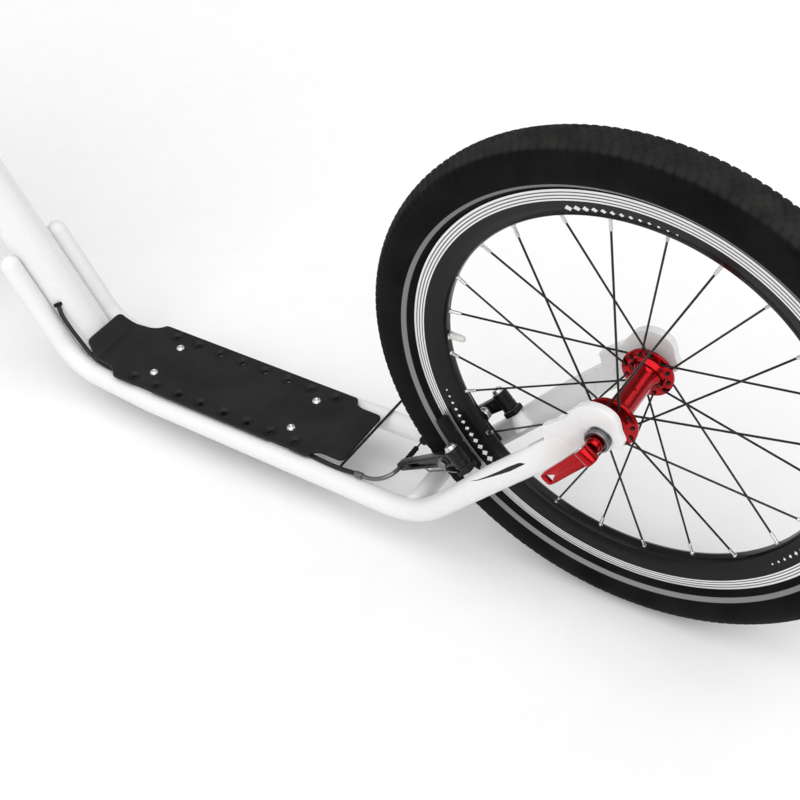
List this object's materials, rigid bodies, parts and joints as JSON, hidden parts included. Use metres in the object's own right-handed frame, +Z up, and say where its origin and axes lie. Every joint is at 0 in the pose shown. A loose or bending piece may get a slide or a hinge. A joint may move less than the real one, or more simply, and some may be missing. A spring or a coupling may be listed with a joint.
{
  "type": "kick bike",
  "caption": "Kick bike: a footboard slung low between a large front and a small rear spoked wheel, with a raised handlebar, rim brakes and quick-release hubs.",
  "frame": {"origin": "on the ground under the middle of the bike, between the ends of the two tyres", "axes": "+X forward, +Y to the rider's left, +Z up"},
  "size_m": [1.8313, 0.6258, 0.9859],
  "materials": {
    "frame_paint": "gloss white paint",
    "board_coating": "satin black coating on aluminium",
    "screw_steel": "plain steel screws",
    "tyre_rubber": "black tyre rubber with a grey reflective stripe",
    "tube_rubber": "black butyl rubber",
    "rim_black": "gloss black rim with machined silver brake tracks",
    "red_anodised": "bright red anodised aluminium",
    "bearing_steel": "polished steel",
    "axle_steel": "dark steel",
    "black_alloy": "satin black alloy",
    "grip_rubber": "black ribbed grip rubber",
    "pad_rubber": "black brake pad rubber",
    "noodle_steel": "grey steel pipe",
    "boot_rubber": "black soft rubber",
    "cable_housing": "black brake cable housing"
  },
  "bodies": {
    "frame": {"head_tube": "frame_paint", "down_tube": "frame_paint", "left_side_tube": "frame_paint", "right_side_tube": "frame_paint", "rear_bridge": "frame_paint", "left_dropout": "frame_paint", "right_dropout": "frame_paint", "rear_board_carrier": "frame_paint", "front_board_carrier": "frame_paint", "footboard": "board_coating", "board_screw_1": "screw_steel", "board_screw_2": "screw_steel", "board_screw_3": "screw_steel", "board_screw_4": "screw_steel", "upper_headset_cup": "black_alloy", "lower_headset_cup": "black_alloy", "rear_axle": "axle_steel", "rear_skewer": "axle_steel", "rear_brake_cable": "cable_housing", "rear_cable_loop": "cable_housing"},
    "steering": {"fork": "frame_paint", "stem": "black_alloy", "headset_cap": "black_alloy", "handlebar": "black_alloy", "left_grip": "grip_rubber", "right_grip": "grip_rubber", "left_lever_bracket": "black_alloy", "right_lever_bracket": "black_alloy", "front_axle": "axle_steel", "front_skewer": "axle_steel", "front_brake_cable": "cable_housing"},
    "rear_wheel": {"rear_tyre": "tyre_rubber", "rear_inner_tube": "tube_rubber", "rear_rim": "rim_black", "rear_hub": "red_anodised", "rear_left_bearing": "bearing_steel", "rear_right_bearing": "bearing_steel"},
    "front_wheel": {"front_tyre": "tyre_rubber", "front_inner_tube": "tube_rubber", "front_rim": "rim_black", "front_hub": "red_anodised", "front_left_bearing": "bearing_steel", "front_right_bearing": "bearing_steel"},
    "rear_lever": {"rear_quick_lever": "red_anodised"},
    "front_lever": {"front_quick_lever": "red_anodised"},
    "left_lever": {"left_brake_lever": "black_alloy"},
    "right_lever": {"right_brake_lever": "black_alloy"},
    "rear_left_arm": {"rear_left_brake_arm": "black_alloy", "rear_left_brake_pad": "pad_rubber", "rear_noodle": "noodle_steel", "rear_cable_boot": "boot_rubber"},
    "rear_right_arm": {"rear_right_brake_arm": "black_alloy", "rear_right_brake_pad": "pad_rubber"},
    "front_left_arm": {"front_left_brake_arm": "black_alloy", "front_left_brake_pad": "pad_rubber"},
    "front_right_arm": {"front_right_brake_arm": "black_alloy", "front_right_brake_pad": "pad_rubber", "front_noodle": "noodle_steel", "front_cable_boot": "boot_rubber"}
  },
  "joints": [
    {"name": "steering_turn", "type": "hinge", "parent": "frame", "child": "steering", "pos_m": [0.5442, 0, 0.31585], "axis": [-0.3256, 0, 0.9455], "range_deg": [-60, 60], "deforming": ["rear_cable_loop"]},
    {"name": "rear_wheel_spin", "type": "hinge", "parent": "frame", "child": "rear_wheel", "pos_m": [-0.66325, 0, 0.254], "axis": [0, 1, 0], "continuous": true},
    {"name": "front_wheel_spin", "type": "hinge", "parent": "steering", "child": "front_wheel", "pos_m": [0.58675, 0, 0.3305], "axis": [0, 1, 0], "continuous": true},
    {"name": "rear_lever_open", "type": "hinge", "parent": "frame", "child": "rear_lever", "pos_m": [-0.66325, 0.0796, 0.254], "axis": [0.7738, 0, 0.6334], "range_deg": [0, 180]},
    {"name": "front_lever_open", "type": "hinge", "parent": "steering", "child": "front_lever", "pos_m": [0.58675, 0.0796, 0.3305], "axis": [-0.5592, 0, -0.829], "range_deg": [0, 180]},
    {"name": "left_lever_pull", "type": "hinge", "parent": "steering", "child": "left_lever", "pos_m": [0.39932, 0.1752, 0.95314], "axis": [0.5129, 0.0908, 0.8536], "range_deg": [0, 13], "stiffness_Nm_per_rad": 0.6, "springref_deg": -9.74},
    {"name": "right_lever_pull", "type": "hinge", "parent": "steering", "child": "right_lever", "pos_m": [0.39932, -0.1752, 0.95314], "axis": [-0.5129, 0.0908, -0.8536], "range_deg": [0, 13], "stiffness_Nm_per_rad": 0.6, "springref_deg": -9.74},
    {"name": "rear_left_arm_swing", "type": "hinge", "parent": "frame", "child": "rear_left_arm", "pos_m": [-0.51125, 0.044, 0.1485], "axis": [-0.6468, 0, -0.7627], "range_deg": [0, 4], "deforming": ["rear_cable_boot", "rear_brake_cable"]},
    {"name": "rear_right_arm_swing", "type": "hinge", "parent": "frame", "child": "rear_right_arm", "pos_m": [-0.51125, -0.044, 0.1485], "axis": [0.6468, 0, 0.7627], "range_deg": [0, 4]},
    {"name": "front_left_arm_swing", "type": "hinge", "parent": "steering", "child": "front_left_arm", "pos_m": [0.48867, 0.044, 0.57234], "axis": [0.9455, 0, 0.3256], "range_deg": [0, 4]},
    {"name": "front_right_arm_swing", "type": "hinge", "parent": "steering", "child": "front_right_arm", "pos_m": [0.48867, -0.044, 0.57234], "axis": [-0.9455, 0, -0.3256], "range_deg": [0, 4], "deforming": ["front_cable_boot", "front_brake_cable"]}
  ],
  "couplings": [
    {"joint": "rear_left_arm_swing", "follows": "right_lever_pull", "ratio": 0.3},
    {"joint": "rear_right_arm_swing", "follows": "right_lever_pull", "ratio": 0.3},
    {"joint": "front_left_arm_swing", "follows": "left_lever_pull", "ratio": 0.3},
    {"joint": "front_right_arm_swing", "follows": "left_lever_pull", "ratio": 0.3}
  ]
}
